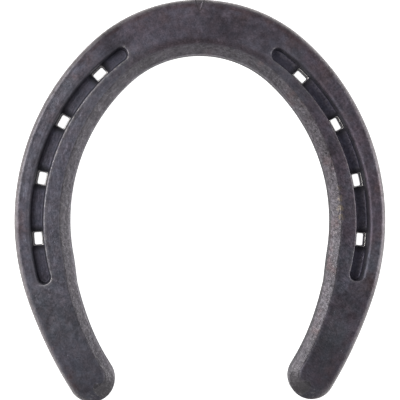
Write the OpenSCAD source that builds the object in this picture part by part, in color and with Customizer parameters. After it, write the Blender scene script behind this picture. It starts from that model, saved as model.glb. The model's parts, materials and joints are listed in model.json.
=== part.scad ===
// Front horseshoe: one forged steel bar, turned to shape, fullered and punched.
// It lies on its hoof face at Z = 0 with the ground face up and the toe towards +Y.
// The origin is the middle of its outline, on the hoof face.

/* [Bar] */
// Thickness of the bar, from hoof face to ground face
bar_t = 8; // [7:0.5:11]
// Width of the bar (the web) from the toe to the quarters
web = 19.3; // [18:0.1:21]
// Width of the bar at the heels
heel_web = 16.3; // [15:0.1:18]
// Share of the quarter over which the bar keeps its full width
web_keep = 0.87; // [0.7:0.01:0.95]

/* [Outline] */
// Outer radius round the toe
toe_r = 55.4; // [53:0.1:58]
// Turn of the toe arc, from the middle of the toe to where the quarter starts, in degrees
toe_turn = 42.8; // [40:0.1:44]
// Outer radius round the quarter
quarter_r = 85.2; // [82:0.1:88]
// Turn of the quarter arc, in degrees
quarter_turn = 65.8; // [64:0.1:67]
// Outer radius along the heel
heel_r = 155; // [130:1:180]
// Turn of the heel arc, in degrees
heel_turn = 13.1; // [12:0.1:14]

/* [Edges] */
// Radius of the rounded outer edge of the ground face
outer_round = 1.8; // [0.8:0.1:2]
// Width of the bevel along the inner edge of the ground face
bevel_w = 3.8; // [2.5:0.1:4.5]
// Depth of that bevel
bevel_d = 1.7; // [1:0.1:2.5]
// Length of the bevel that runs off the tip of each heel
heel_bevel_w = 5.6; // [4:0.1:6]
// Depth of the heel bevel
heel_bevel_d = 2.4; // [1.5:0.1:3]
// Small break on the edges of the hoof face
edge_break = 0.7; // [0.3:0.1:1]

/* [Creases] */
// Radius of the line down the middle of the left branch's crease
crease_r = 72.5; // [71.5:0.1:73.5]
// How much smaller that radius is on the right branch, whose crease lies further in from the edge
crease_skew = 0.4; // [0:0.1:0.8]
// Distance of that arc's centre beyond the middle of the shoe, away from its own branch
crease_offset = 15.3; // [15:0.1:15.8]
// Distance of that arc's centre behind the outer edge of the toe
crease_back = 77.7; // [76:0.1:79]
// Where the crease starts near the toe, in degrees from straight out sideways
crease_from = 55.7; // [54:0.1:57]
// Where it ends near the heel, in degrees
crease_to = -17; // [-18:0.1:-15]
// Width of the crease at the ground face
crease_w = 4.9; // [4.6:0.1:5.2]
// Width of the crease at its floor
crease_floor_w = 3.9; // [3.7:0.1:4.2]
// Depth of the crease
crease_d = 4.5; // [3.5:0.1:5]

/* [Nail holes] */
// Holes in each crease
hole_count = 4; // [2:1:4]
// Place of the hole nearest the toe, in degrees from straight out sideways
hole_first = 45.5; // [44:0.1:47]
// Step from one hole to the next, in degrees
hole_step = 16.75; // [15.5:0.05:17.2]
// How much nearer the toe the left branch's holes sit than the right branch's, in degrees
hole_skew = 1; // [0:0.1:1.5]
// Length of a hole, along the crease, where it comes out of the hoof face
hole_l = 4.4; // [4:0.1:5.6]
// Width of a hole there
hole_w = 2.8; // [2.4:0.1:3.1]
// How much longer and wider a hole is at the floor of the crease
hole_taper = 0.7; // [0.3:0.1:0.8]

/* [Toe mark] */
// Width of the V cut in the outer edge at the middle of the toe
mark_w = 3.6; // [2:0.1:5]
// How far the V reaches in from the outer edge
mark_l = 4.2; // [2.5:0.1:5]
// Depth of the V at the outer edge
mark_d = 1.2; // [0.8:0.1:2]

/* [Hidden] */

steel = [0.28, 0.27, 0.30];
toe_steps = 9;         // stations along the toe arc, from the middle
quarter_steps = 18;    // stations along the quarter arc
heel_steps = 8;        // stations along the heel arc
tip_steps = 7;         // stations round each half of a heel tip
tip_lead = 6;          // how far before the half circle the heel's bevel starts to grow
round_steps = 3;       // steps across a rounded or bevelled edge
bevel_crown = 1.3;     // 1 is a flat bevel, and more makes it bulge
crease_steps = 24;     // stations along a crease
crease_end_steps = 5;  // stations round each end of a crease
heel_keep = 0.15;      // share of the heel arc, at its end, that is as narrow as the heel
over = 1;              // how far a cutter stands clear of the face it cuts

// A direction at a clockwise turn from +Y, and the way along the bar there.
function out(turn) = [sin(turn), cos(turn)];
function along(turn) = [cos(turn), -sin(turn)];
function polar(angle) = [cos(angle), sin(angle)];
function flip(v) = [-v[0], v[1]];
function mix(a, b, t) = a + (b - a) * t;
function smooth(t) = let (c = min(max(t, 0), 1)) c * c * (3 - 2 * c);

// Three tangent arcs make the outer edge of the right branch. The toe's outer edge is at Y = 0 here.
heel_from = toe_turn + quarter_turn;
full_turn = heel_from + heel_turn;
toe_centre = [0, -toe_r];
quarter_centre = toe_centre - (quarter_r - toe_r) * out(toe_turn);
heel_centre = quarter_centre - (heel_r - quarter_r) * out(heel_from);
function outer_point(turn) =
    turn <= toe_turn ? toe_centre + toe_r * out(turn)
    : turn <= heel_from ? quarter_centre + quarter_r * out(turn)
    : heel_centre + heel_r * out(turn);

// The web keeps its width nearly to the end of the quarter, then draws in smoothly to the heel.
draw_from = toe_turn + web_keep * quarter_turn;
draw_to = full_turn - heel_keep * heel_turn;
function web_at(turn) = mix(web, heel_web, smooth((turn - draw_from) / (draw_to - draw_from)));

// The heel ends in a half circle as wide as the web there.
tip_r = heel_web / 2;
tip_centre = outer_point(full_turn) - tip_r * out(full_turn);
shoe_l = tip_r - tip_centre[1];
shift_y = shoe_l / 2;

// The heel's own bevel grows from nothing to its full size at the very tip.
function tip_blend(ahead) = pow(max(0, (ahead + tip_lead) / (tip_r + tip_lead)), 2);

// A station is a pair of outline points, one on each edge of the bar, and the blend to the heel's bevel
// there. Each edge is [point, outward direction].
turns = [
    for (i = [0 : toe_steps]) toe_turn * i / toe_steps,
    for (i = [1 : quarter_steps]) toe_turn + quarter_turn * i / quarter_steps,
    for (i = [1 : heel_steps]) heel_from + heel_turn * i / heel_steps
];
bar_stations = [
    for (turn = turns)
        let (p = outer_point(turn), left = (full_turn - turn) * PI / 180 * heel_r)
        [[p, out(turn)], [p - web_at(turn) * out(turn), -out(turn)], tip_blend(-left)]
];
tip_stations = [
    for (i = [1 : tip_steps])
        let (
            turned = 90 * i / (tip_steps + 0.5),
            across = cos(turned) * out(full_turn),
            ahead = sin(turned) * along(full_turn)
        )
        [
            [tip_centre + tip_r * (ahead + across), ahead + across],
            [tip_centre + tip_r * (ahead - across), ahead - across],
            tip_blend(tip_r * sin(turned))
        ]
];
right_stations = concat(bar_stations, tip_stations);
left_stations = [
    for (i = [len(right_stations) - 1 : -1 : 1])
        let (s = right_stations[i])
        [[flip(s[0][0]), flip(s[0][1])], [flip(s[1][0]), flip(s[1][1])], s[2]]
];
stations = concat(left_stations, right_stations);

// The edge's profile from the hoof face up, as [distance in from the outline, height].
hoof_edge = [[edge_break, 0], [0, edge_break]];
function bevel(w, d) = [
    each hoof_edge,
    for (i = [0 : round_steps])
        let (u = i / round_steps)
        [w * u, bar_t - d * pow(1 - u, bevel_crown)]
];
function rounding(r) = [
    each hoof_edge,
    for (i = [0 : round_steps])
        let (a = 90 * i / round_steps)
        [r * (1 - cos(a)), bar_t - r * (1 - sin(a))]
];
outer_profile = rounding(outer_round);
inner_profile = bevel(bevel_w, bevel_d);
tip_profile = bevel(heel_bevel_w, heel_bevel_d);
function lift(edge, step) = [each (edge[0] - step[0] * edge[1]), step[1]];

// A closed solid from levels of matched points. A level is two rows of points, left and right of the way
// along.
module ribbon(levels) {
    top = len(levels) - 1;
    last = len(levels[0][0]) - 1;
    function at(k, side, i) = (2 * k + side) * (last + 1) + i;
    walls = [
        for (k = [0 : top - 1], i = [0 : last - 1]) each [
            [at(k, 0, i), at(k, 0, i + 1), at(k + 1, 0, i + 1), at(k + 1, 0, i)],
            [at(k, 1, i), at(k + 1, 1, i), at(k + 1, 1, i + 1), at(k, 1, i + 1)]
        ]
    ];
    ends = [
        for (k = [0 : top - 1]) each [
            [at(k, 0, 0), at(k + 1, 0, 0), at(k + 1, 1, 0), at(k, 1, 0)],
            [at(k, 0, last), at(k, 1, last), at(k + 1, 1, last), at(k + 1, 0, last)]
        ]
    ];
    faces = [
        for (i = [0 : last - 1]) each [
            [at(0, 0, i), at(0, 1, i), at(0, 1, i + 1), at(0, 0, i + 1)],
            [at(top, 0, i), at(top, 0, i + 1), at(top, 1, i + 1), at(top, 1, i)]
        ]
    ];
    polyhedron([for (level = levels, row = level, p = row) p], concat(walls, ends, faces));
}

// The bar turned to shape, with its rounded outer edge, its inner bevel and its heel tips.
module blank() {
    ribbon([
        for (k = [0 : len(outer_profile) - 1]) [
            [for (s = stations) lift(s[0], mix(outer_profile[k], tip_profile[k], s[2]))],
            [for (s = stations) lift(s[1], mix(inner_profile[k], tip_profile[k], s[2]))]
        ]
    ]);
}

// A crease follows one arc, and each end is a half circle. A station is [angle on the arc, turn round the
// end].
crease_centre = [-crease_offset, -crease_back];
crease_end = crease_w / 2 / crease_r * 180 / PI;
crease_first = crease_from - crease_end;
crease_last = crease_to + crease_end;
function end_turn(i) = 90 * i / (crease_end_steps + 0.5);
crease_stations = [
    for (i = [crease_end_steps : -1 : 1]) [crease_first, end_turn(i)],
    for (i = [0 : crease_steps]) [mix(crease_first, crease_last, i / crease_steps), 0],
    for (i = [1 : crease_end_steps]) [crease_last, -end_turn(i)]
];
function crease_row(r, w, side, z) = [
    for (s = crease_stations)
        let (across = side * cos(s[1]) * polar(s[0]), ahead = sin(s[1]) * polar(s[0] + 90))
        [each (crease_centre + r * polar(s[0]) + w / 2 * (across + ahead)), z]
];

// The groove for the nail heads, open at the ground face, with r the radius of its middle line.
module crease(r) {
    ribbon([
        for (step = [[crease_floor_w, bar_t - crease_d], [crease_w, bar_t], [crease_w, bar_t + over]])
            [crease_row(r, step[0], 1, step[1]), crease_row(r, step[0], -1, step[1])]
    ]);
}

// A tapered rectangular punch through the floor of the crease, with its long side along X.
floor_z = bar_t - crease_d;
module punch() {
    ribbon([
        for (z = [-over, floor_z + over / 2])
            let (grown = hole_taper * z / floor_z, x = (hole_l + grown) / 2, y = (hole_w + grown) / 2)
            [[[-x, y, z], [x, y, z]], [[-x, -y, z], [x, -y, z]]]
    ]);
}

// A branch's crease and nail holes, drawn on the right. The hole nearest the toe is at the angle first.
module crease_and_holes(r, first) {
    crease(r);
    for (i = [0 : hole_count - 1]) {
        angle = first - i * hole_step;
        translate([each (crease_centre + r * polar(angle)), 0]) rotate([0, 0, angle - 90]) punch();
    }
}

// A small V cut in the outer edge at the middle of the toe, which runs out at the ground face.
module toe_mark() {
    grown = (mark_l + over) / mark_l;
    deep = mark_d * grown;
    half = mark_w / 2 * grown * (deep + over) / deep;
    apex = [0, -mark_l, bar_t];
    corners = [[-half, over, bar_t + over], [half, over, bar_t + over], [0, over, bar_t - deep]];
    polyhedron([apex, each corners], [[0, 1, 2], [0, 3, 1], [0, 2, 3], [1, 3, 2]]);
}

module shoe() {
    color(steel) translate([0, shift_y, 0]) difference() {
        blank();
        crease_and_holes(crease_r - crease_skew, hole_first - hole_skew / 2);
        mirror([1, 0, 0]) crease_and_holes(crease_r, hole_first + hole_skew / 2);
        toe_mark();
    }
}

shoe();
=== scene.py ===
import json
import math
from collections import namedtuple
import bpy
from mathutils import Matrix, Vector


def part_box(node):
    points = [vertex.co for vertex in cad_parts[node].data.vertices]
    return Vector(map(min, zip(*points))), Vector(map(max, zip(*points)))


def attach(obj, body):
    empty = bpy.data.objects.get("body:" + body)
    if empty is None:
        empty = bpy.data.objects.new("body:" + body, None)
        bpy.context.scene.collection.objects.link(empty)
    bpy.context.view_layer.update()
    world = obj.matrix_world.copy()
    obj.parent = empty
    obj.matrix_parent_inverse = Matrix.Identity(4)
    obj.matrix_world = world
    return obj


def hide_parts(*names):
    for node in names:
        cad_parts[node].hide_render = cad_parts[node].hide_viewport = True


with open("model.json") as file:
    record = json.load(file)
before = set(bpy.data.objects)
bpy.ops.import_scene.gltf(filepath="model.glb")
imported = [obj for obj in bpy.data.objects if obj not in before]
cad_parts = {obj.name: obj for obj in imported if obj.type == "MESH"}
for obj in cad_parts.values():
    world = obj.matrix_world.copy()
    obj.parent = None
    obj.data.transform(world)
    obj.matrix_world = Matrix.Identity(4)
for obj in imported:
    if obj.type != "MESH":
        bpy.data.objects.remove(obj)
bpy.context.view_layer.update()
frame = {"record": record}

# The looks of a forged horseshoe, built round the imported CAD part. Lengths here are in millimetres in the
# CAD's own frame, and become metres when the mesh is made. The shoe lies on its hoof face with its ground
# face up and the toe towards +Y. One finely stepped mesh stands for the CAD solid: it follows the same
# outline, creases and holes, and adds the soft edges, lips, dents and ripples of forged steel.

from types import SimpleNamespace

import bmesh
import bpy
import numpy as np
from mathutils import Vector, noise

MM = 0.001
box_low, box_high = (np.array(corner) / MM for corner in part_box("shoe"))
THICK = box_high[2]
TOE_Y = box_high[1]

# ---- The shoe's plan, as in the CAD -------------------------------------------------------------------

TOE_R, TOE_TURN = 55.4, 42.8
QUARTER_R, QUARTER_TURN = 85.2, 65.8
HEEL_R, HEEL_TURN = 155.0, 13.1
WEB, HEEL_WEB = 19.3, 16.3
WEB_KEEP, HEEL_KEEP = 0.87, 0.15
TIP_R = HEEL_WEB / 2
TIP_LEAD = 6.0           # how far before the half circle the heel's bevel starts to grow
HEEL_FROM = TOE_TURN + QUARTER_TURN
FULL_TURN = HEEL_FROM + HEEL_TURN
DRAW_FROM = TOE_TURN + WEB_KEEP * QUARTER_TURN
DRAW_TO = FULL_TURN - HEEL_KEEP * HEEL_TURN

CREASE_CENTRE = np.array([-15.3, TOE_Y - 77.7])
CREASE_HALF = 2.45       # half the width of a crease at the ground face
CREASE_FROM, CREASE_TO = 55.7, -17.0
CREASE_DEPTH = 4.5
HOLE_HALF = 2.85         # half the length of a hole at the floor of the crease
BAND_HALF = 1.5          # half the width of a hole at the hoof face

TOE_MARK_L, TOE_MARK_W = 4.4, 3.7


def smooth(t):
    t = min(max(t, 0.0), 1.0)
    return t * t * (3 - 2 * t)


def mix(a, b, t):
    return a + (b - a) * t


def out(turn):
    """The direction at a clockwise turn from +Y, in degrees."""
    a = math.radians(turn)
    return np.array([math.sin(a), math.cos(a)])


def polar(angle):
    a = math.radians(angle)
    return np.array([math.cos(a), math.sin(a)])


TOE_CENTRE = np.array([0.0, TOE_Y - TOE_R])
QUARTER_CENTRE = TOE_CENTRE - (QUARTER_R - TOE_R) * out(TOE_TURN)
HEEL_CENTRE = QUARTER_CENTRE - (HEEL_R - QUARTER_R) * out(HEEL_FROM)


def outer_point(turn):
    if turn <= TOE_TURN:
        return TOE_CENTRE + TOE_R * out(turn)
    if turn <= HEEL_FROM:
        return QUARTER_CENTRE + QUARTER_R * out(turn)
    return HEEL_CENTRE + HEEL_R * out(turn)


def web_at(turn):
    return mix(WEB, HEEL_WEB, smooth((turn - DRAW_FROM) / (DRAW_TO - DRAW_FROM)))


def inner_point(turn):
    return outer_point(turn) - web_at(turn) * out(turn)


def tip_blend(ahead):
    return max(0.0, (ahead + TIP_LEAD) / (TIP_R + TIP_LEAD)) ** 2


SEARCH_TURN = 15.0       # how far either side of a first guess a turn is looked for
HALVINGS = 30


def turn_where(edge, place, direction, near):
    """The turn at which an edge of the bar crosses the line through place, square to direction."""
    low, high = near - SEARCH_TURN, near + SEARCH_TURN
    for _ in range(HALVINGS):
        middle = (low + high) / 2
        if np.dot(edge(middle) - place, direction) > 0:
            low = middle
        else:
            high = middle
    return middle


# ---- Stations: lines across the bar, from the toe to the heel of the right branch ----------------------

# outer and inner are [point, outward direction] on the two edges of the bar, and middle is where the two
# halves of a cross section meet. tip grows from 0 to 1 as the heel's own bevel does. The rest is None away
# from the creases. Along one, spine is its middle, at that angle about CREASE_CENTRE, and a point of its rim
# lies at spine + radius * (side * across + ahead).
Station = namedtuple("Station", "outer inner middle tip spine across ahead angle", defaults=[None] * 4)

RIM = 1.3                # how far the softened rim of a crease reaches beyond its edge
STEP = 0.5               # the usual distance between stations
MARK_STEP = 0.2          # the distance between them at the toe mark
MARK_REACH = 0.7         # how far from the middle they lie that close, in widths of the mark
FAN_STEPS = 10           # stations round half of each end of a crease
TIP_STEPS = 20           # stations round half of the tip of a heel
TIP_SHIFT = 2.0          # how far the middle moves on round the tip


def crease_station(crease_r, angle, round_end):
    """A station across a crease. round_end goes from 0 to 90 degrees round its toe end, or 0 to -90."""
    spine = CREASE_CENTRE + crease_r * polar(angle)
    across = polar(angle)
    toewards = polar(angle + 90)
    turned = math.radians(round_end)
    place = spine + (CREASE_HALF + RIM) * math.sin(turned) * toewards
    outer_turn = turn_where(outer_point, place, toewards, 90 - angle)
    inner_turn = turn_where(inner_point, place, toewards, 90 - angle)
    return Station(
        (outer_point(outer_turn), out(outer_turn)),
        (inner_point(inner_turn), -out(inner_turn)),
        place,
        0.0,
        spine,
        across * math.cos(turned),
        toewards * math.sin(turned),
        angle,
    ), (outer_turn, inner_turn)


def plain_station(outer_turn, inner_turn, share):
    """A station away from the creases, whose middle lies that share of the way across the bar."""
    outer, inner = outer_point(outer_turn), inner_point(inner_turn)
    left = math.radians(FULL_TURN - outer_turn) * HEEL_R
    middle = mix(outer, inner, share)
    return Station((outer, out(outer_turn)), (inner, -out(inner_turn)), middle, tip_blend(-left))


def tip_station(turned):
    """A station round the tip of the heel, where turned goes from 0 to 90 degrees."""
    across, ahead = out(FULL_TURN), out(FULL_TURN + 90)
    centre = outer_point(FULL_TURN) - TIP_R * across
    c, s = math.cos(math.radians(turned)), math.sin(math.radians(turned))
    return Station(
        (centre + TIP_R * (s * ahead + c * across), s * ahead + c * across),
        (centre + TIP_R * (s * ahead - c * across), s * ahead - c * across),
        centre + TIP_SHIFT * s * ahead,
        tip_blend(TIP_R * s),
    )


def spread(start, end, step):
    """Values from start to end with about that step, and the end left out."""
    count = max(1, round(abs(end - start) / step))
    return [mix(start, end, i / count) for i in range(count)]


def share_of(station):
    """How far across the bar a station's middle lies."""
    width = np.linalg.norm(station.inner[0] - station.outer[0])
    return np.linalg.norm(station.middle - station.outer[0]) / width


def crease_of(branch):
    """The radius of a branch's crease and the angles of its holes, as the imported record's mounts say."""
    mounts = [m for m in frame["record"]["mounts"] if m["name"].startswith("nail_hole_" + branch)]
    offsets = [np.array((abs(m["pos_m"][0]), m["pos_m"][1])) / MM - CREASE_CENTRE for m in mounts]
    radius = float(np.mean([np.linalg.norm(o) for o in offsets]))
    return radius, sorted((math.degrees(math.atan2(o[1], o[0])) for o in offsets), reverse=True)


# A nail hole: the stations at its ends, its crease's radius, its angle, and its share of the full width.
Hole = namedtuple("Hole", "first last crease_r angle share")

HOLE_STEPS = 12          # stations along a hole, less one
CLUSTER = 75.0           # draws a hole's stations towards its ends
HOLE_SHARE = {"left": 0.98, "right": 0.89}       # how wide a branch's holes are beneath


def crease_angles(crease_r, places):
    """The angles of the stations along a crease, and (first, last, angle) of each hole among them."""
    per_mm = math.degrees(1 / crease_r)
    end = CREASE_HALF * per_mm
    angles, spans = [], []
    here = CREASE_FROM - end
    for hole in places:
        angles += spread(here, hole + HOLE_HALF * per_mm, STEP * per_mm)
        first = len(angles)
        for i in range(HOLE_STEPS):
            t = 1 - 2 * i / HOLE_STEPS
            u = math.sin(math.radians(CLUSTER * t)) / math.sin(math.radians(CLUSTER))
            angles.append(hole + u * HOLE_HALF * per_mm)
        spans.append((first, first + HOLE_STEPS, hole))
        here = hole - HOLE_HALF * per_mm
    angles += spread(here, CREASE_TO + end, STEP * per_mm) + [CREASE_TO + end]
    return angles, spans


def branch_stations(branch):
    """Every station of a branch, drawn on the right, and its holes."""
    crease_r, places = crease_of(branch)
    angles, spans = crease_angles(crease_r, places)
    fan = [90 * i / FAN_STEPS for i in range(FAN_STEPS, 0, -1)]
    crease = [crease_station(crease_r, angles[0], turned) for turned in fan]
    before_fan = len(crease)
    crease += [crease_station(crease_r, angle, 0) for angle in angles]
    crease += [crease_station(crease_r, angles[-1], -turned) for turned in reversed(fan)]

    first, (outer_turn, inner_turn) = crease[0]
    length = math.radians(outer_turn) * TOE_R
    marked = MARK_REACH * TOE_MARK_W / length
    shares = spread(0, marked, MARK_STEP / length) + spread(marked, 1, STEP / length)
    toe = [
        plain_station(outer_turn * t, inner_turn * t, mix(0.5, share_of(first), smooth(t)))
        for t in shares
    ]

    last, (outer_turn, inner_turn) = crease[-1]
    length = np.linalg.norm(outer_point(FULL_TURN) - outer_point(outer_turn))
    shares = spread(0, 1, STEP / length)[1:] + [1.0]
    heel = [
        plain_station(
            mix(outer_turn, FULL_TURN, t),
            mix(inner_turn, FULL_TURN, t),
            mix(share_of(last), 0.5, smooth(t)),
        )
        for t in shares
    ]
    tip = [tip_station(90 * i / TIP_STEPS) for i in range(1, TIP_STEPS + 1)]
    start = len(toe) + before_fan
    holes = [Hole(start + i, start + j, crease_r, angle, HOLE_SHARE[branch]) for i, j, angle in spans]
    return toe + [station for station, _ in crease] + heel + tip, holes


# ---- The cross section, from the middle out over the land, down the edge and back underneath ----------

LAND_DROP = 0.07         # how far the land lies under the crisp rims

# The rim of a crease, from its floor up to the land: [beyond the crease's edge, below the ground face]. The
# side by the outer edge is rolled over, and the other side and both ends stay crisp.
ROLLED_RIM = [
    (-0.65, CREASE_DEPTH), (-0.54, 4.38), (-0.47, 4.0), (-0.38, 3.2), (-0.30, 2.4), (-0.22, 1.7),
    (-0.10, 1.05), (0.10, 0.62), (0.40, 0.32), (0.80, 0.14), (RIM, LAND_DROP),
]
CRISP_RIM = [
    (-0.65, CREASE_DEPTH), (-0.54, 4.38), (-0.47, 4.0), (-0.36, 3.1), (-0.25, 2.1), (-0.14, 1.1),
    (-0.06, 0.42), (0.03, 0.13), (0.18, 0.02), (0.55, 0.0), (RIM, LAND_DROP),
]
# Painted highlight and painted shade along a crisp rim and along a rolled one, in each branch: the crisp
# lip's highlight is stronger on the left, whose lip faces the key light, the foot of the right crease's
# rolled wall gets painted light, and the shade darkens the corners at the floor, the walls and the rolled
# lips.
RIM_HIGHLIGHT = {
    "left": ([0, 0, 0, 0, 0, 0, 0.2, 0.8, 1.0, 0.5, 0], [0, 0, 0, 0, 0, 0, 0, 0, 0, 0, 0]),
    "right": ([0, 0, 0, 0, 0, 0, 0.1, 0.4, 0.5, 0.2, 0], [0.3, 0.3, 0.4, 0.4, 0.1, 0, 0, 0, 0, 0, 0]),
}
RIM_SHADE = {
    "left": (
        [0.5, 0.6, 0.5, 0.4, 0.3, 0.2, 0, 0, 0, 0, 0],
        [0.2, 0.3, 0.3, 0.3, 0.3, 0.4, 0.5, 0.5, 0.4, 0.25, 0.1],
    ),
    "right": (
        [0.5, 0.6, 0.5, 0.4, 0.3, 0.2, 0, 0, 0, 0, 0],
        [0.1, 0.3, 0.2, 0.15, 0.5, 0.7, 0.5, 0.25, 0.2, 0.15, 0.05],
    ),
}
FLOOR_KEY_LIGHT = {"left": 0.0, "right": 0.9}         # painted key light on the floor by the rolled wall

OUTER_ROUND = {"left": 1.9, "right": 2.2}        # the outer edge's radius in each branch
HEEL_ROUND = 2.5         # its radius by the heels
HEEL_ROUND_FROM = 50.0   # how far behind the middle of the shoe it has that one
SHARP_TOE = 1.4          # its radius at the middle of the toe
SHARP_TOE_HALF = 5.0     # how far to each side that reaches
BEVEL_W, BEVEL_D = 3.8, 1.7
TIP_BEVEL_W, TIP_BEVEL_D = 5.6, 2.4
BEVEL_CROWN = 1.05       # above 1, a bevel bulges a little
BEVEL_SHARES = [1.0, 0.96, 0.82, 0.65, 0.48, 0.31, 0.15]    # a bevel's points, from its top edge down
BEVEL_FOOT = [(0.12, -0.02), (0.0, 0.2)]         # the rounding at its foot: [in, beyond the bevel's depth]
HOOF_BREAK = 0.7         # the radius of the edges of the hoof face

# Where the columns of a cross section lie, and how many there are round its edge, down and beneath.
FLOOR_SHARES = [0, 0.4, 0.75]    # from the middle of the crease's floor to its wall
LAND_SHARES = [*(i / 11 for i in range(1, 11)), 0.985]      # across the land, the last close by its edge
PROFILE_STEPS = len(BEVEL_SHARES) + len(BEVEL_FOOT) - 1
WALL_STEPS = 7
ROUND_STEPS = 3
UNDER_STEPS = 9


def rounding(radius):
    """The outer edge, from the ground face down: [in from the outline, below the ground face]."""
    turns = [math.radians(90 * i / PROFILE_STEPS) for i in range(PROFILE_STEPS + 1)]
    return np.array([[radius * (1 - math.sin(a)), radius * (1 - math.cos(a))] for a in turns])


def bevel(width, depth):
    """The inner edge, from the ground face down, with its own small rounding at the bottom."""
    points = [(width * u, depth * (1 - u) ** BEVEL_CROWN) for u in BEVEL_SHARES]
    points += [(inset, depth + beyond) for inset, beyond in BEVEL_FOOT]
    return np.array(points)


def edge_of(station, side, branch):
    """The profile of one edge of the bar: side is 1 for the outer edge and -1 for the inner."""
    if side > 0:
        toe = max(0.0, 1 - (station.outer[0][0] / SHARP_TOE_HALF) ** 2)
        heel = smooth(-station.outer[0][1] / HEEL_ROUND_FROM)
        own = rounding(mix(mix(OUTER_ROUND[branch], HEEL_ROUND, heel), SHARP_TOE, toe))
    else:
        own = bevel(BEVEL_W, BEVEL_D)
    return mix(own, bevel(TIP_BEVEL_W, TIP_BEVEL_D), min(1.0, station.tip))


# Wear, with painted highlight on the outer edge, and painted shade down the profile of an edge. The wear is
# at most these on a bevel, the outer edge and the edges of the hoof face.
BEVEL_RUB, EDGE_WEAR_AND_SHEEN, HOOF_RUB = 0.1, 0.8, 0.5
INNER_RUB = np.array([BEVEL_RUB * math.sin(math.pi * i / PROFILE_STEPS) for i in range(PROFILE_STEPS + 1)])
OUTER_WEAR_AND_SHEEN = np.array([EDGE_WEAR_AND_SHEEN * (i / PROFILE_STEPS) ** 2 for i in range(PROFILE_STEPS + 1)])
TOE_WEAR_AND_SHEEN = 1.6            # how much more wear and painted highlight the outer edge has round the toe
TOE_SHEEN_FROM, TOE_SHEEN_OVER = 0.45, 0.4           # from how far the edge faces forwards, and over how much
MARK_GAP_HALF, MARK_GAP_FADE = 1.0, 2.0              # how far the toe mark keeps the edge free of wear and painted highlight
EDGE_SHADE = np.array([0.35, 0.15] + [0] * (PROFILE_STEPS - 1))   # painted shade along the top edge of a bevel, which darkens its highlight
INNER_SHADE = 0.85        # painted shade on the inner wall, made rough and dull as well


def rim_point(station, side, radius):
    if station.spine is None:
        return station.middle
    return station.spine + radius * (side * station.across + station.ahead)


def rolled_share(station, side):
    """1 where the rim is the rolled one, and 0 where it is the crisp one."""
    if station.spine is None:
        return 0.0
    return max(0.0, side * np.linalg.norm(station.across)) ** 2


def toe_wear_and_sheen(station):
    """How much wear and painted highlight the outer edge has, from 1 by the heels to more round the toe,
    with none at the mark.
    """
    (x, _), (_, forward) = station.outer
    round_toe = 1 + TOE_WEAR_AND_SHEEN * smooth((forward - TOE_SHEEN_FROM) / TOE_SHEEN_OVER)
    return round_toe * smooth((abs(x) - MARK_GAP_HALF) / MARK_GAP_FADE)


def row(place, z, worn_and_lit=0.0, shaded=0.0):
    """One column of a cross section: its point, its wear and painted highlight, and its painted shade."""
    return (place[0], place[1], z), worn_and_lit, shaded


def crease_rows(station, side, branch):
    """From the middle of the crease's floor up its wall. Away from a crease they all lie at the middle."""
    creased = 0.0 if station.spine is None else 1.0
    rolled = rolled_share(station, side)
    rim = [mix(np.array(c), np.array(r), rolled) for c, r in zip(CRISP_RIM, ROLLED_RIM)]
    wear_and_light, soot = (creased * mix(*np.array(looks[branch]), rolled) for looks in (RIM_HIGHLIGHT, RIM_SHADE))
    floor = CREASE_HALF + rim[0][0]
    for share in FLOOR_SHARES:
        # Painted key light on the crease's floor beside its rolled wall.
        worn_and_lit = creased * share * rolled * FLOOR_KEY_LIGHT[branch]
        yield row(rim_point(station, side, floor * share), THICK - CREASE_DEPTH, worn_and_lit)
    for (beyond, drop), worn_and_lit, shaded in zip(rim, wear_and_light, soot):
        yield row(rim_point(station, side, CREASE_HALF + beyond), THICK - drop, worn_and_lit, shaded)


def land_rows(station, side, profile, by_tip):
    """Over the land and down the profile of the edge, where by_tip falls to 0 round the tip of the heel."""
    point, outward = station.outer if side > 0 else station.inner
    # Wear and painted highlight down the outer edge, wear down a bevel, and painted shade at the top of a
    # bevel and round the heel's tip.
    if side > 0:
        wear_and_light, soot = by_tip * toe_wear_and_sheen(station) * OUTER_WEAR_AND_SHEEN, (1 - by_tip) * EDGE_SHADE
    else:
        wear_and_light, soot = by_tip * INNER_RUB, EDGE_SHADE
    land_from = rim_point(station, side, CREASE_HALF + RIM)
    land_to = point - profile[0][0] * outward
    for share in LAND_SHARES:
        shaded = soot[0] if share == LAND_SHARES[-1] else 0.0
        yield row(mix(land_from, land_to, share), THICK - LAND_DROP, 0.0, shaded)
    for (inset, drop), worn_and_lit, shaded in zip(profile, wear_and_light, soot):
        yield row(point - inset * outward, THICK - max(drop, LAND_DROP), worn_and_lit, shaded)


def wall_rows(station, side, top, by_tip):
    """Down the wall from that height, and round onto the hoof face."""
    point, outward = station.outer if side > 0 else station.inner
    # Wear and painted highlight at the top of the outer wall, and painted shade on the inner wall.
    rub = EDGE_WEAR_AND_SHEEN * by_tip * toe_wear_and_sheen(station) if side > 0 else 0.0
    soot = 0.0 if side > 0 else INNER_SHADE * by_tip
    for i in range(1, WALL_STEPS):
        down = i / WALL_STEPS
        yield row(point, mix(top, HOOF_BREAK, down), rub * (1 - down) ** 2, soot)
    for i in range(ROUND_STEPS + 1):
        turned = i / ROUND_STEPS
        a = math.radians(90 * turned)
        inset, height = HOOF_BREAK * (1 - math.cos(a)), HOOF_BREAK * (1 - math.sin(a))
        yield row(point - inset * outward, height, HOOF_RUB * turned, soot * (1 - turned))


def underside_rows(station, side):
    """Over the hoof face to its middle."""
    point, outward = station.outer if side > 0 else station.inner
    start, end = point - HOOF_BREAK * outward, under_point(station, side, 1.0)
    for i in range(1, UNDER_STEPS):
        yield row(mix(start, end, i / UNDER_STEPS), 0.0)
    for share in [1.0, *reversed(FLOOR_SHARES)]:
        yield row(under_point(station, side, share), 0.0)


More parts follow.
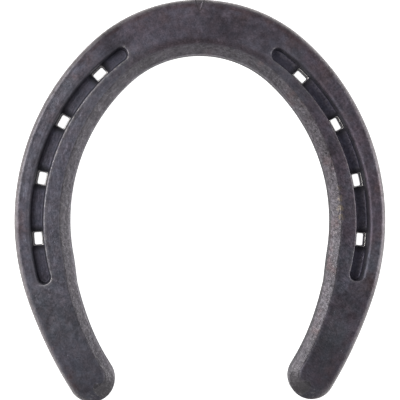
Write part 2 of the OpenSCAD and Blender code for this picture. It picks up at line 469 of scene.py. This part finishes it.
def half_section(station, side, branch):
    """Every column from the middle of the ground face round one edge to the middle of the hoof face."""
    profile = edge_of(station, side, branch)
    by_tip = 1 - min(1.0, station.tip)
    yield from crease_rows(station, side, branch)
    yield from land_rows(station, side, profile, by_tip)
    yield from wall_rows(station, side, THICK - profile[-1][1], by_tip)
    yield from underside_rows(station, side)


def under_point(station, side, share):
    """A point of the hoof face, that share of the way from under the crease's middle to the holes' side."""
    if station.spine is None:
        return station.middle
    return station.middle + share * BAND_HALF * side * station.across


FLOOR_EDGE = len(FLOOR_SHARES)                   # column of the corner between crease floor and wall
SHADE_EDGE = FLOOR_EDGE + 3                       # last column that the painted shade round a hole reaches
RIM_EDGE = FLOOR_EDGE + len(CRISP_RIM) - 1       # column where the rim meets the land
COLUMNS = FLOOR_EDGE + len(CRISP_RIM) + len(LAND_SHARES) + PROFILE_STEPS + 1
COLUMNS += WALL_STEPS - 1 + ROUND_STEPS + 1 + UNDER_STEPS - 1 + len(FLOOR_SHARES) + 1
BAND_EDGE = COLUMNS - len(FLOOR_SHARES) - 1      # column at the holes' side on the hoof face


# ---- The toe mark, a shallow V stamped in the outer edge ----------------------------------------------

MARK_DEPTH = 0.25
MARK_BOW = 0.52          # below 1, the V's sides bow out
MARK_SLOPE = 0.9         # width of the slope from the mark's edge down to its floor


def mark_depth(x, y):
    """How deep the toe mark is at a place on the ground face."""
    half = (TOE_MARK_W / 2) * max(0.0, 1 - (TOE_Y - y) / TOE_MARK_L) ** MARK_BOW
    inside = half - abs(x)
    return MARK_DEPTH * smooth(inside / MARK_SLOPE)


# ---- The nail holes, from the floor of the crease through to the hoof face -----------------------------

LEDGE_REFLECTION_LEVEL = 2.4         # above any wear, which the material turns into a near-white painted reflection

# Each row is [height, half the length, half the width, painted light]. The punch left ledges on its way,
# which a painted reflection makes bright.
HOLE_LEVELS = [
    (THICK - CREASE_DEPTH, HOLE_HALF, 1.80, 0.0),
    (3.30, 2.60, 1.78, 0.0), (3.00, 2.46, 1.76, 0.0),
    (2.99, 2.44, 1.73, LEDGE_REFLECTION_LEVEL), (2.93, 2.38, 1.58, LEDGE_REFLECTION_LEVEL),
    (2.92, 2.37, 1.56, 0.0), (2.10, 2.34, 1.54, 0.0),
    (2.09, 2.31, 1.52, LEDGE_REFLECTION_LEVEL), (2.00, 2.25, 1.40, LEDGE_REFLECTION_LEVEL),
    (1.99, 2.24, 1.39, 0.0), (1.10, 2.20, 1.38, 0.0),
    (1.05, 2.15, 1.34, 1.5), (0.95, 2.14, 1.33, 1.0), (0.40, 2.13, 1.33, 0.3),
    (0.15, 2.15, 1.35, 0.0), (0.00, 2.20, 1.40, 0.0),
]
HOLE_SHADE = 0.8          # painted shade on the walls of a hole between the ledges
FULL_WIDTH_TO = 3.3      # above this height a hole has its full width
SHARED_FROM = 1.2        # below this height it has only its branch's share of that
HOLE_CORNER = 0.5        # the radius of its corners


def rounded_corner(u, v, half_l, half_w, radius):
    """Moves a point of a rectangle's edge onto the rectangle with round corners."""
    du, dv = abs(u) - (half_l - radius), abs(v) - (half_w - radius)
    if du <= 0 or dv <= 0:
        return u, v
    reach = radius / math.hypot(du, dv)
    return (
        math.copysign(half_l - radius + du * reach, u),
        math.copysign(half_w - radius + dv * reach, v),
    )


def hole_loop(hole, stations):
    """Unit places (u, v) round a hole, with the (station, side, column step) each has in the section."""
    reach = HOLE_HALF * math.degrees(1 / hole.crease_r)
    shares = [*FLOOR_SHARES, 1.0]
    top = len(shares) - 1
    first, last = hole.first, hole.last
    keys = [(i, 1, top) for i in range(first, last + 1)]
    keys += [(last, 1, k) for k in range(top - 1, -1, -1)] + [(last, -1, k) for k in range(1, top)]
    keys += [(i, -1, top) for i in range(last, first - 1, -1)]
    keys += [(first, -1, k) for k in range(top - 1, -1, -1)] + [(first, 1, k) for k in range(1, top)]
    return [
        ((stations[i].angle - hole.angle) / reach, side * shares[k], (i, side, k))
        for i, side, k in keys
    ]


def hole_place(hole, u, v, half_l, half_w):
    """The plan position of the unit place (u, v) on a hole of that size."""
    u, v = rounded_corner(u * half_l, v * half_w, half_l, half_w, HOLE_CORNER)
    return CREASE_CENTRE + (hole.crease_r + v) * polar(hole.angle) + u * polar(hole.angle + 90)


# ---- Putting a branch together -------------------------------------------------------------------------

# What each vertex tells the material: its wear and painted highlight, its painted shade, how deep it lies in
# a crease (1 at the floor), its share of the way across the bar from the outer edge, and how far it is along
# the branch.
ATTRIBUTES = ("rub", "soot", "depth", "across", "along")


class Shell:
    """Vertices and faces of the whole shoe, in millimetres."""

    def __init__(self):
        self.points, self.faces = [], []
        self.values = {name: [] for name in ATTRIBUTES}

    def add(self, point, *values):
        """Adds a vertex with its value of each attribute, and gives its index."""
        self.points.append(point)
        for name, value in zip(ATTRIBUTES, values):
            self.values[name].append(value)
        return len(self.points) - 1

    def quad(self, *corners):
        self.faces.append(corners)


def across_share(station, point):
    """0 at the outer edge of the bar and 1 at the inner edge, and 1 at the very tip, where they meet."""
    width = np.linalg.norm(station.inner[0] - station.outer[0])
    if width == 0:
        return 1.0
    return min(1.0, np.linalg.norm(np.array(point[:2]) - station.outer[0]) / width)


END_SHADE = [1.0, 0.9, 0.6, 0.3]  # painted shade on the floor of a crease, going away from the end of a hole
SIDE_SHADE = 0.6                  # painted shade on the walls of a crease beside a hole


def hole_shade(holes):
    """The painted shade beside the holes and beyond their ends, by station."""
    soot = {}
    for hole in holes:
        soot.update((i, SIDE_SHADE) for i in range(hole.first, hole.last))
        for away, amount in enumerate(END_SHADE):
            soot[hole.first - away] = soot[hole.last + away] = amount
    return soot


def add_points(shell, stations, holes, branch, flip):
    """Adds the vertices of a branch, and gives their indices by station, side and column."""
    grid = {}
    by_holes = hole_shade(holes)
    along = 0.0
    for i, station in enumerate(stations):
        if i > 0:
            along += np.linalg.norm(station.middle - stations[i - 1].middle)
        for side in (1, -1):
            for column, (point, worn_and_lit, soot) in enumerate(half_section(station, side, branch)):
                x, y, z = point
                z = min(z, THICK - mark_depth(x, y))
                in_crease = column < RIM_EDGE and station.spine is not None
                deep = (THICK - z) / CREASE_DEPTH if in_crease else 0.0
                # Painted shade round the holes.
                if column <= SHADE_EDGE:
                    soot = max(soot, by_holes.get(i, 0.0))
                share = across_share(station, point)
                grid[i, side, column] = shell.add((flip * x, y, z), worn_and_lit, soot, deep, share, flip * along)
    return grid


def add_faces(shell, grid, stations, holes):
    """Joins a branch's vertices, and leaves the holes open. Away from a crease, its columns are skipped."""
    in_hole = {i for hole in holes for i in range(hole.first, hole.last)}
    for i in range(len(stations) - 1):
        creased = stations[i].spine is not None and stations[i + 1].spine is not None
        for side in (1, -1):
            for column in range(COLUMNS - 1):
                on_crease = column < RIM_EDGE or column >= BAND_EDGE
                on_hole = column < FLOOR_EDGE or column >= BAND_EDGE
                if (on_crease and not creased) or (on_hole and i in in_hole):
                    continue
                shell.quad(
                    grid[i, side, column],
                    grid[i, side, column + 1],
                    grid[i + 1, side, column + 1],
                    grid[i + 1, side, column],
                )


def add_hole(shell, grid, hole, stations, flip):
    """Adds the walls of a hole, and rounds the corners of the openings at both of its ends."""
    loop = hole_loop(hole, stations)
    rings = []
    for level, (height, half_l, half_w, worn_and_lit) in enumerate(HOLE_LEVELS):
        half_w *= mix(1.0, hole.share, smooth((FULL_WIDTH_TO - height) / (FULL_WIDTH_TO - SHARED_FROM)))
        # Painted shade on the hole's walls, and none on its brightened rows.
        soot = 0.0 if worn_and_lit > 0 else HOLE_SHADE
        ring = []
        for u, v, (i, side, step) in loop:
            x, y = hole_place(hole, u, v, half_l, half_w)
            if level == 0:
                index = grid[i, side, step]
                shell.points[index] = (flip * x, y, height)
            elif level == len(HOLE_LEVELS) - 1:
                index = grid[i, side, COLUMNS - 1 - step]
                shell.points[index] = (flip * x, y, height)
            else:
                along = shell.values["along"][grid[i, side, step]]
                index = shell.add((flip * x, y, height), worn_and_lit, soot, 1.0, 0.5, along)
            ring.append(index)
        rings.append(ring)
    for upper, lower in zip(rings, rings[1:]):
        for k in range(len(loop)):
            after = (k + 1) % len(loop)
            shell.quad(upper[k], upper[after], lower[after], lower[k])


def add_branch(shell, branch, flip):
    """Adds one branch. flip is -1 for the left one, which is drawn on the right and mirrored."""
    stations, holes = branch_stations(branch)
    grid = add_points(shell, stations, holes, branch, flip)
    add_faces(shell, grid, stations, holes)
    for hole in holes:
        add_hole(shell, grid, hole, stations, flip)


# ---- Forged surface: every point moves in along its normal by a little ---------------------------------

# Rows of [size of the waves, how far they go in, where in the noise they start].
WAVES = [(15.0, 0.13, 3.1), (6.0, 0.06, 11.7), (2.6, 0.035, 23.9), (1.2, 0.015, 41.3)]
DENT_SIZE, DENT_DEPTH, DENT_LEVEL = 4.5, 0.35, 0.42
DENT_START = (57.0, 8.0, 0.0)
WALL_SHARE = 0.1         # the share of a wave that an upright wall keeps

MERGE = 0.002            # vertices nearer than this become one
SHARP_ANGLE = 55.0       # faces that meet at more than this many degrees keep a sharp edge


def hollow(place):
    """How far in the forged surface lies at a place, in millimetres, and never less than nothing."""
    inward = 0.0
    for size, depth, start in WAVES:
        inward += depth * (0.5 + 0.5 * noise.noise(place / size + Vector((start, 0, 0))))
    dent = noise.noise(place / DENT_SIZE + Vector(DENT_START)) - DENT_LEVEL
    return inward + DENT_DEPTH * max(0.0, dent)


def forge(body):
    """Moves the surface in by the waves and dents, but not the holes' walls or the creases' floors."""
    body.normal_update()
    depth = body.verts.layers.float["depth"]
    for v in body.verts:
        share = max(0.0, 1 - v[depth]) * mix(WALL_SHARE, 1.0, abs(v.normal.z))
        v.co -= hollow(v.co) * share * v.normal


def make_shoe():
    shell = Shell()
    for branch, flip in (("right", 1), ("left", -1)):
        add_branch(shell, branch, flip)

    mesh = bpy.data.meshes.new("forged_shoe")
    mesh.from_pydata(shell.points, [], shell.faces)
    for name, values in shell.values.items():
        mesh.attributes.new(name, "FLOAT", "POINT").data.foreach_set("value", values)

    body = bmesh.new()
    body.from_mesh(mesh)
    loose = [v for v in body.verts if not v.link_faces]
    bmesh.ops.delete(body, geom=loose, context="VERTS")
    bmesh.ops.remove_doubles(body, verts=body.verts, dist=MERGE)
    bmesh.ops.recalc_face_normals(body, faces=body.faces)
    forge(body)
    bmesh.ops.scale(body, vec=(MM, MM, MM), verts=body.verts)
    body.to_mesh(mesh)
    body.free()

    mesh.shade_smooth()
    mesh.set_sharp_from_angle(angle=math.radians(SHARP_ANGLE))
    shoe = bpy.data.objects.new("forged_shoe", mesh)
    bpy.context.scene.collection.objects.link(shoe)
    return shoe


# ---- Materials -----------------------------------------------------------------------------------------


class Nodes:
    """A short way to write a material's nodes. Each call gives the socket that it makes."""

    def __init__(self, name):
        self.material = bpy.data.materials.new(name)
        self.material.use_nodes = True
        self.tree = self.material.node_tree
        self.shader = self.tree.nodes["Principled BSDF"]

    def plug(self, socket, value):
        if isinstance(value, bpy.types.NodeSocket):
            self.tree.links.new(value, socket)
        else:
            socket.default_value = value

    def place_mm(self):
        """Object coordinates in millimetres."""
        coords = self.tree.nodes.new("ShaderNodeTexCoord")
        scaled = self.tree.nodes.new("ShaderNodeVectorMath")
        scaled.operation = "MULTIPLY"
        self.plug(scaled.inputs[0], coords.outputs["Object"])
        scaled.inputs[1].default_value = [1 / MM] * 3
        return scaled.outputs[0]

    def vector(self, x, y, z):
        node = self.tree.nodes.new("ShaderNodeCombineXYZ")
        for socket, value in zip(node.inputs, (x, y, z)):
            self.plug(socket, value)
        return node.outputs[0]

    def split(self, vector):
        node = self.tree.nodes.new("ShaderNodeSeparateXYZ")
        self.plug(node.inputs[0], vector)
        return node.outputs

    def distance(self, place, centre):
        node = self.tree.nodes.new("ShaderNodeVectorMath")
        node.operation = "DISTANCE"
        self.plug(node.inputs[0], place)
        node.inputs[1].default_value = centre
        return node.outputs["Value"]

    def attribute(self, name):
        node = self.tree.nodes.new("ShaderNodeAttribute")
        node.attribute_name = name
        return node.outputs["Fac"]

    def noise(self, place, size, detail, roughness, start):
        """Noise from 0 to 1, whose blotches are about size across. Another start gives another pattern."""
        node = self.tree.nodes.new("ShaderNodeTexNoise")
        node.noise_dimensions = "4D"
        self.plug(node.inputs["Vector"], place)
        node.inputs["W"].default_value = start
        node.inputs["Scale"].default_value = 1 / size
        node.inputs["Detail"].default_value = detail
        node.inputs["Roughness"].default_value = roughness
        return node.outputs["Fac"]

    def span(self, value, low, high, to_low=0.0, to_high=1.0):
        """value from low..high, carried smoothly to to_low..to_high and held there outside."""
        node = self.tree.nodes.new("ShaderNodeMapRange")
        node.interpolation_type = "SMOOTHSTEP"
        self.plug(node.inputs["Value"], value)
        ends = {"From Min": low, "From Max": high, "To Min": to_low, "To Max": to_high}
        for name, number in ends.items():
            node.inputs[name].default_value = number
        return node.outputs["Result"]

    def math(self, operation, a, b=0.0):
        node = self.tree.nodes.new("ShaderNodeMath")
        node.operation = operation
        self.plug(node.inputs[0], a)
        self.plug(node.inputs[1], b)
        return node.outputs[0]

    def times(self, first, *others):
        """The product of sockets and numbers."""
        for other in others:
            first = self.math("MULTIPLY", first, other)
        return first

    def darker(self, share, by):
        """1 where share is 0, and less by that much where it is 1."""
        return self.math("SUBTRACT", 1.0, self.times(share, by))

    def blend(self, share, a, b, kind="MIX"):
        node = self.tree.nodes.new("ShaderNodeMix")
        node.data_type = "RGBA"
        node.blend_type = kind
        self.plug(node.inputs["Factor"], share)
        self.plug(node.inputs["A"], a if isinstance(a, bpy.types.NodeSocket) else (*a, 1))
        self.plug(node.inputs["B"], b if isinstance(b, bpy.types.NodeSocket) else (*b, 1))
        return node.outputs["Result"]

    def grey(self, value):
        node = self.tree.nodes.new("ShaderNodeCombineColor")
        for i in range(3):
            self.plug(node.inputs[i], value)
        return node.outputs[0]

    def bump(self, height, depth_mm, under=None):
        node = self.tree.nodes.new("ShaderNodeBump")
        node.inputs["Strength"].default_value = 1.0
        node.inputs["Distance"].default_value = depth_mm * MM
        self.plug(node.inputs["Height"], height)
        if under is not None:
            self.plug(node.inputs["Normal"], under)
        return node.outputs[0]


# Colours of the scale, of what lies on it and of what shows through, and of painted shade, painted highlight
# and painted reflection.
VIOLET_SCALE = (0.124, 0.121, 0.154)
GREY_SCALE = (0.114, 0.113, 0.134)
PALE_SCALE = (0.152, 0.147, 0.177)
BEVEL_SCALE = (0.130, 0.120, 0.130)
EDGE_SCALE = (0.150, 0.136, 0.144)
# painted light on the inner side of the heels' tip bevels
TIP_PAINTED_LIGHT = (0.150, 0.142, 0.150)
MARK_SCALE = (0.20, 0.19, 0.21)
PLUM = (0.134, 0.110, 0.140)
BROWN = (0.140, 0.098, 0.104)
BURNT = (0.105, 0.074, 0.084)
CHIPPED = (0.29, 0.28, 0.29)
BRASS = (0.25, 0.20, 0.14)
# Bare steel that also serves as painted highlight, a near-white painted reflection for the hole ledges, the
# crease's painted shade, and a black painted shade.
BARE_AND_LIT = (0.37, 0.35, 0.34)
LEDGE_REFLECTION = (0.9, 0.87, 0.84)
CREASE_SHADE = (0.016, 0.015, 0.019)
PAINTED_SHADE = (0.014, 0.013, 0.016)
WARM_TINT, COOL_TINT, CREASE_TINT = (1.04, 0.99, 0.98), (0.97, 1.01, 1.03), (0.98, 0.93, 1.12)

# Darker and lighter patches of scale, each [x, y, radius, tone], and brassy flecks, each [x, y, radius].
PATCHES = [
    (5, 61, 6, 0.74), (13, 60, 6, 0.76), (23, 58, 5, 0.80), (18, 54, 5, 1.14), (-30, 57, 5, 0.76),
    (-32, 54, 6, 0.66), (46, 17, 5, 0.74), (55, -36, 8, 0.76), (44, -54, 9, 0.8), (-44, 34, 15, 1.08),
    (-46, 5, 6, 0.9),
]
FLECKS = [(48.6, 3.5, 1.2), (48.9, 0.5, 1.4), (49.0, -3.0, 1.4), (49.1, -6.0, 1.1), (29.5, 50.0, 1.2)]
RAGGED = 6.0             # how far a patch's border wanders in and out
FLECK_RAGGED = 0.3       # the share of that for a fleck

ALONG_SHARE = 0.22       # the share of the way along the bar that counts, which draws streaks out along it
SLANT_SHARE = 0.3        # the same for the hatching that runs across to the right


def read_surface(n):
    """Where a point lies, what its vertices say, and the masks and patterns that several layers share."""
    at = SimpleNamespace(**{name: n.attribute(name) for name in ATTRIBUTES})
    at.place = n.place_mm()
    at.x, at.y, at.z = n.split(at.place)
    at.flow = n.vector(n.times(at.along, ALONG_SHARE), n.times(at.across, WEB), 0.0)
    slanted = n.times(n.math("SUBTRACT", at.x, at.y), SLANT_SHARE)
    at.slant = n.vector(n.math("ADD", at.x, at.y), slanted, 0.0)

    at.shallow = n.span(at.depth, 0.6, 0.1)
    at.on_bevel = n.times(n.span(at.across, 0.79, 0.83), at.shallow)
    at.by_bevel = n.times(n.span(at.across, 0.64, 0.76), n.span(at.across, 0.83, 0.79))
    at.by_heel = n.span(at.y, -35, -58)

    at.mottle = n.noise(at.place, 2.4, 5, 0.62, 13)
    at.grain = n.noise(at.place, 0.5, 3, 0.6, 19)
    at.streaks = n.noise(at.flow, 0.7, 4, 0.6, 23)
    at.specks = n.span(n.noise(at.place, 1.1, 2, 0.5, 31), 0.66, 0.74)
    at.scratches = n.span(n.noise(at.flow, 0.45, 4, 0.65, 91), 0.32, 0.68, 0.66, 1.10)
    at.ragged = n.span(n.noise(at.place, 6, 4, 0.6, 61), 0.0, 1.0, RAGGED, -RAGGED)
    return at


def scale_colour(n, at):
    """The scale's hues: violet and grey, plum on the right and at the toe, brown and burnt by the edges."""
    colour = n.blend(n.span(n.noise(at.place, 22, 2, 0.5, 1), 0.35, 0.65), VIOLET_SCALE, GREY_SCALE)
    pale = n.span(n.noise(at.place, 8, 4, 0.6, 7), 0.40, 0.64)
    colour = n.blend(n.times(pale, 0.6), colour, PALE_SCALE)

    plum = n.span(n.noise(at.place, 14, 4, 0.6, 53), 0.38, 0.62)
    plum = n.times(plum, n.span(at.x, -40, 40, 0.15, 1.0))
    plum = n.math("MAXIMUM", plum, n.times(n.span(at.y, 45, 60), 0.7))
    colour = n.blend(n.times(plum, at.shallow), colour, PLUM)
    hue = n.span(n.noise(at.place, 2.8, 4, 0.6, 67), 0.35, 0.65)
    colour = n.blend(1.0, colour, n.blend(hue, WARM_TINT, COOL_TINT), "MULTIPLY")
    colour = n.blend(n.times(at.on_bevel, 0.7), colour, BEVEL_SCALE)
    colour = n.blend(n.span(at.across, 0.12, 0.02), colour, EDGE_SCALE)

    near_outer = n.times(n.span(at.across, 0.5, 0.1), n.span(at.across, 0.02, 0.12))
    right_bevel = n.times(at.on_bevel, n.span(at.x, -10, 20))
    rusty = n.span(n.noise(at.place, 9, 4, 0.6, 29), 0.50, 0.66)
    brown = n.times(n.math("MAXIMUM", near_outer, right_bevel), rusty, at.shallow, 0.7)
    colour = n.blend(brown, colour, BROWN)

    by_rim = n.times(n.span(at.across, 0.06, 0.10), n.span(at.across, 0.18, 0.12, 0.0, 1.2))
    at_toe = n.span(at.y, 38, 56, 0.0, 0.65)
    broken = n.span(n.noise(at.place, 5, 3, 0.6, 109), 0.38, 0.55, 0.3, 1.0)
    return n.blend(n.times(n.math("MAXIMUM", at.by_bevel, by_rim), at_toe, broken), colour, BURNT)


def scale_tone(n, at):
    """How light the scale is, about 1: mottled, cloudy and patchy, darker by the heels, and scratched."""
    mottled = n.span(at.mottle, 0.25, 0.75, 0.80, 1.20)
    pebbles = n.span(n.noise(at.place, 0.9, 3, 0.6, 71), 0.3, 0.7, 0.80, 1.20)
    on_quarter = n.times(n.span(n.math("ABSOLUTE", at.x), 32, 46), n.span(at.y, -55, -35))
    cloudy = n.span(n.noise(at.place, 3.2, 3, 0.6, 101), 0.3, 0.7, 0.83, 1.17)
    hatching = n.span(n.noise(at.slant, 0.6, 3, 0.6, 103), 0.3, 0.7, 0.84, 1.16)
    on_right = n.times(n.span(at.x, 25, 40), n.span(at.across, 0.4, 0.6, 0.0, 1.4))
    tones = [
        n.math("POWER", mottled, n.span(at.by_heel, 0.0, 1.0, 1.0, 0.55)),
        n.span(at.grain, 0.2, 0.8, 0.78, 1.22),
        n.span(at.streaks, 0.3, 0.7, 0.92, 1.08),
        n.darker(at.specks, 0.35),
        n.math("POWER", pebbles, on_quarter),
        n.math("POWER", cloudy, n.span(at.across, 0.6, 0.3, 0.2, 0.8)),
        n.darker(at.by_bevel, n.span(at.y, 42, 56, 0.12, 0.22)),
        n.span(at.y, -69, -58, 0.65, 1.0),
        n.span(at.by_heel, 0.0, 1.0, 1.0, 0.92),
        n.span(at.x, 25, 45, 1.0, 0.96),
        n.math("POWER", at.scratches, n.times(at.on_bevel, n.span(at.x, -20, 20, 0.9, 1.4))),
        n.math("POWER", hatching, on_right),
        n.math("ADD", 1.0, n.times(at.on_bevel, n.span(at.y, 25, 46, 0.0, 0.2))),
    ]
    for x, y, radius, tone in PATCHES:
        far = n.math("ADD", n.distance(at.place, (x, y, THICK)), at.ragged)
        tones.append(n.span(far, 0.3 * radius, 1.3 * radius, tone, 1.0))
    return n.times(*tones)


def add_chips(n, at, colour):
    """Scuffs on the bevels, chips and painted light on the heels' tips, and brassy flecks."""
    on_tip = n.times(
        n.span(at.z, THICK - 0.35, THICK - 0.55),
        n.span(at.z, THICK - TIP_BEVEL_D - 0.3, THICK - TIP_BEVEL_D),
        n.span(at.y, -56, -60),
    )
    # Painted light, stronger towards the inner side of the heels' tip bevels.
    colour = n.blend(n.times(on_tip, n.span(at.across, 0.45, 0.8, 0.0, 0.35)), colour, TIP_PAINTED_LIGHT)
    scuffs = n.times(n.span(n.noise(at.slant, 0.7, 3, 0.6, 97), 0.56, 0.68), at.on_bevel)
    chips = n.times(n.span(n.noise(at.place, 0.9, 4, 0.65, 107), 0.53, 0.66), on_tip)
    colour = n.blend(n.times(n.math("MAXIMUM", scuffs, chips), 0.4), colour, CHIPPED)
    for x, y, radius in FLECKS:
        far = n.math("ADD", n.distance(at.place, (x, y, THICK)), n.times(at.ragged, FLECK_RAGGED))
        brassy = n.times(n.span(far, 1.3 * radius, 0.5 * radius), n.span(at.scratches, 0.75, 0.95), 0.7)
        colour = n.blend(brassy, colour, BRASS)
    return colour


def add_wear_and_light(n, at, colour):
    """Bare steel where the surface is worn, painted highlight where it is lit, a bluish tint in the creases,
    and the painted reflection on the ledges.
    """
    broken = n.span(n.noise(at.place, 0.9, 5, 0.7, 37), 0.38, 0.62)
    # Wear and painted highlight: one pale colour for bare steel and for the lit lips, edges and crease
    # floor.
    colour = n.blend(n.math("MINIMUM", n.times(at.rub, broken, 0.7), 0.9), colour, BARE_AND_LIT)
    blued = n.times(n.span(at.depth, 0.6, 0.9), n.span(at.x, -20, 20, 0.3, 0.7))
    colour = n.blend(blued, colour, CREASE_TINT, "MULTIPLY")
    # Painted reflection of the pale floor on the ledges.
    return n.blend(n.span(at.rub, LEDGE_REFLECTION_LEVEL - 0.5, LEDGE_REFLECTION_LEVEL), colour, LEDGE_REFLECTION)


def toe_mark_masks(n, at):
    """The outline of the toe mark and the inside of it, worked out in the way of mark_depth."""
    from_apex = n.math("MAXIMUM", n.math("SUBTRACT", at.y, TOE_Y - TOE_MARK_L), 0.0)
    half = n.times(n.math("POWER", n.math("DIVIDE", from_apex, TOE_MARK_L), MARK_BOW), TOE_MARK_W / 2)
    within = n.math("SUBTRACT", half, n.math("ABSOLUTE", at.x))
    on_top = n.span(at.z, THICK - 2, THICK - 1)
    outline = n.times(n.span(within, -0.15, 0.1), n.span(within, 0.75, 0.35), on_top)
    return outline, n.times(n.span(within, 0.4, 0.8), on_top)


def fine_relief(n, at):
    """The normal, with the scale's relief. The outer edge and the bevels have more of it."""
    on_edge = n.math("MAXIMUM", n.span(at.across, 0.14, 0.04), at.on_bevel)
    normal = None
    for height, depth_mm in [
        (n.noise(at.place, 1.3, 5, 0.62, 47), 0.10),
        (n.times(n.noise(at.place, 0.9, 4, 0.6, 83), on_edge), 0.14),
        (at.grain, 0.03),
        (at.streaks, 0.04),
        (n.math("SUBTRACT", 1.0, at.specks), 0.05),
    ]:
        normal = n.bump(height, depth_mm, normal)
    return normal


def forged_steel():
    """Dark forge scale on mild steel, brighter where worn and where highlights are painted, and black with
    painted shade, rough and dull, where shaded.
    """
    n = Nodes("forged_steel")
    at = read_surface(n)
    colour = n.blend(1.0, scale_colour(n, at), n.grey(scale_tone(n, at)), "MULTIPLY")
    colour = n.blend(n.times(at.depth, 0.2), colour, CREASE_SHADE)
    colour = add_chips(n, at, colour)
    colour = add_wear_and_light(n, at, colour)
    outline, inside = toe_mark_masks(n, at)
    colour = n.blend(n.times(inside, 0.15), colour, MARK_SCALE)
    # Painted shade along the outline of the toe mark, added to the vertices' own.
    soot = n.math("MAXIMUM", at.soot, n.times(outline, 0.85))
    rough = n.math("ADD", n.span(at.mottle, 0.3, 0.7, 0.36, 0.44), n.span(at.grain, 0.2, 0.8, -0.04, 0.04))

    # Painted shade: the colour goes towards black where shaded, and there the steel is also rougher and less
    # metallic.
    n.plug(n.shader.inputs["Base Color"], n.blend(n.times(soot, 0.8), colour, PAINTED_SHADE))
    n.plug(n.shader.inputs["Metallic"], n.span(soot, 0.0, 1.0, 0.75, 0.1))
    n.plug(n.shader.inputs["Roughness"], n.math("ADD", rough, n.times(soot, 0.5)))
    n.plug(n.shader.inputs["Normal"], fine_relief(n, at))
    return n.material


def pale_floor():
    """Matt white with a glow of its own, so that it shows as white all over."""
    n = Nodes("pale_floor")
    n.shader.inputs["Base Color"].default_value = (0.9, 0.9, 0.9, 1)
    n.shader.inputs["Roughness"].default_value = 1.0
    n.shader.inputs["Specular IOR Level"].default_value = 0.0
    n.shader.inputs["Emission Color"].default_value = (1, 1, 1, 1)
    n.shader.inputs["Emission Strength"].default_value = 0.95
    return n.material


# ---- The scene -----------------------------------------------------------------------------------------

CAMERA_LEFT, CAMERA_ABOVE = 24.0, 500.0          # of the place it looks at, in millimetres
AIM_X, AIM_Y = -0.41, 0.28                       # that place
CAMERA_ANGLE, CAMERA_ROLL = 15.83, -0.38         # its field of view and its roll, in degrees

FLOOR_HALF = 3.0         # half the width of the floor, in metres

# Each is [name, place, size, power], in metres and watts, and looks at the middle of the shoe.
LIGHTS = [
    ("key", (-0.27, 0.10, 0.33), 0.25, 0.95),
    ("left_edge", (-0.36, -0.04, 0.12), 0.24, 0.32),
    ("right_edge", (0.34, 0.0, 0.15), 0.26, 0.62),
]


def make_floor():
    mesh = bpy.data.meshes.new("floor")
    corners = [(FLOOR_HALF * x, FLOOR_HALF * y, 0) for x, y in ((-1, -1), (1, -1), (1, 1), (-1, 1))]
    mesh.from_pydata(corners, [], [(0, 1, 2, 3)])
    floor = bpy.data.objects.new("floor", mesh)
    bpy.context.scene.collection.objects.link(floor)
    mesh.materials.append(pale_floor())


# Rows of [height of the direction, brightness of the studio there].
STUDIO = [(0.0, 1.0), (0.25, 0.8), (0.45, 0.4), (0.75, 0.4), (0.88, 0.2), (1.0, 0.17)]


def make_world():
    """White all round at the horizon and dark overhead, as in a tent open at the camera."""
    world = bpy.data.worlds.new("studio")
    world.use_nodes = True
    tree = world.node_tree
    coords = tree.nodes.new("ShaderNodeTexCoord")
    split = tree.nodes.new("ShaderNodeSeparateXYZ")
    tree.links.new(coords.outputs["Generated"], split.inputs[0])
    ramp = tree.nodes.new("ShaderNodeValToRGB")
    tree.links.new(split.outputs["Z"], ramp.inputs[0])
    stops = ramp.color_ramp.elements
    stops[0].position = STUDIO[0][0]
    stops[1].position = STUDIO[-1][0]
    for height, _ in STUDIO[1:-1]:
        stops.new(height)
    for stop, (_, bright) in zip(stops, STUDIO):
        stop.color = (bright, bright, bright, 1)
    tree.links.new(ramp.outputs[0], tree.nodes["Background"].inputs["Color"])
    bpy.context.scene.world = world


def make_light(name, place, size, power):
    data = bpy.data.lights.new(name, "AREA")
    data.size = size
    data.energy = power
    light = bpy.data.objects.new(name, data)
    bpy.context.scene.collection.objects.link(light)
    light.location = place
    light.rotation_mode = "QUATERNION"
    light.rotation_quaternion = (-Vector(place)).to_track_quat("-Z", "Y")


def make_camera():
    """High above the shoe and a little to its left, looking at its middle, as in the photograph."""
    data = bpy.data.cameras.new("camera")
    data.angle = math.radians(CAMERA_ANGLE)
    camera = bpy.data.objects.new("camera", data)
    bpy.context.scene.collection.objects.link(camera)
    camera.location = ((AIM_X - CAMERA_LEFT) * MM, AIM_Y * MM, (THICK + CAMERA_ABOVE) * MM)
    camera.rotation_euler = (0, -math.atan2(CAMERA_LEFT, CAMERA_ABOVE), math.radians(CAMERA_ROLL))
    bpy.context.scene.camera = camera


make_camera()
make_world()
make_floor()
for light in LIGHTS:
    make_light(*light)

shoe = make_shoe()
shoe.data.materials.append(forged_steel())
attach(shoe, "root")
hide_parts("shoe")

bpy.context.scene.view_settings.view_transform = "Standard"
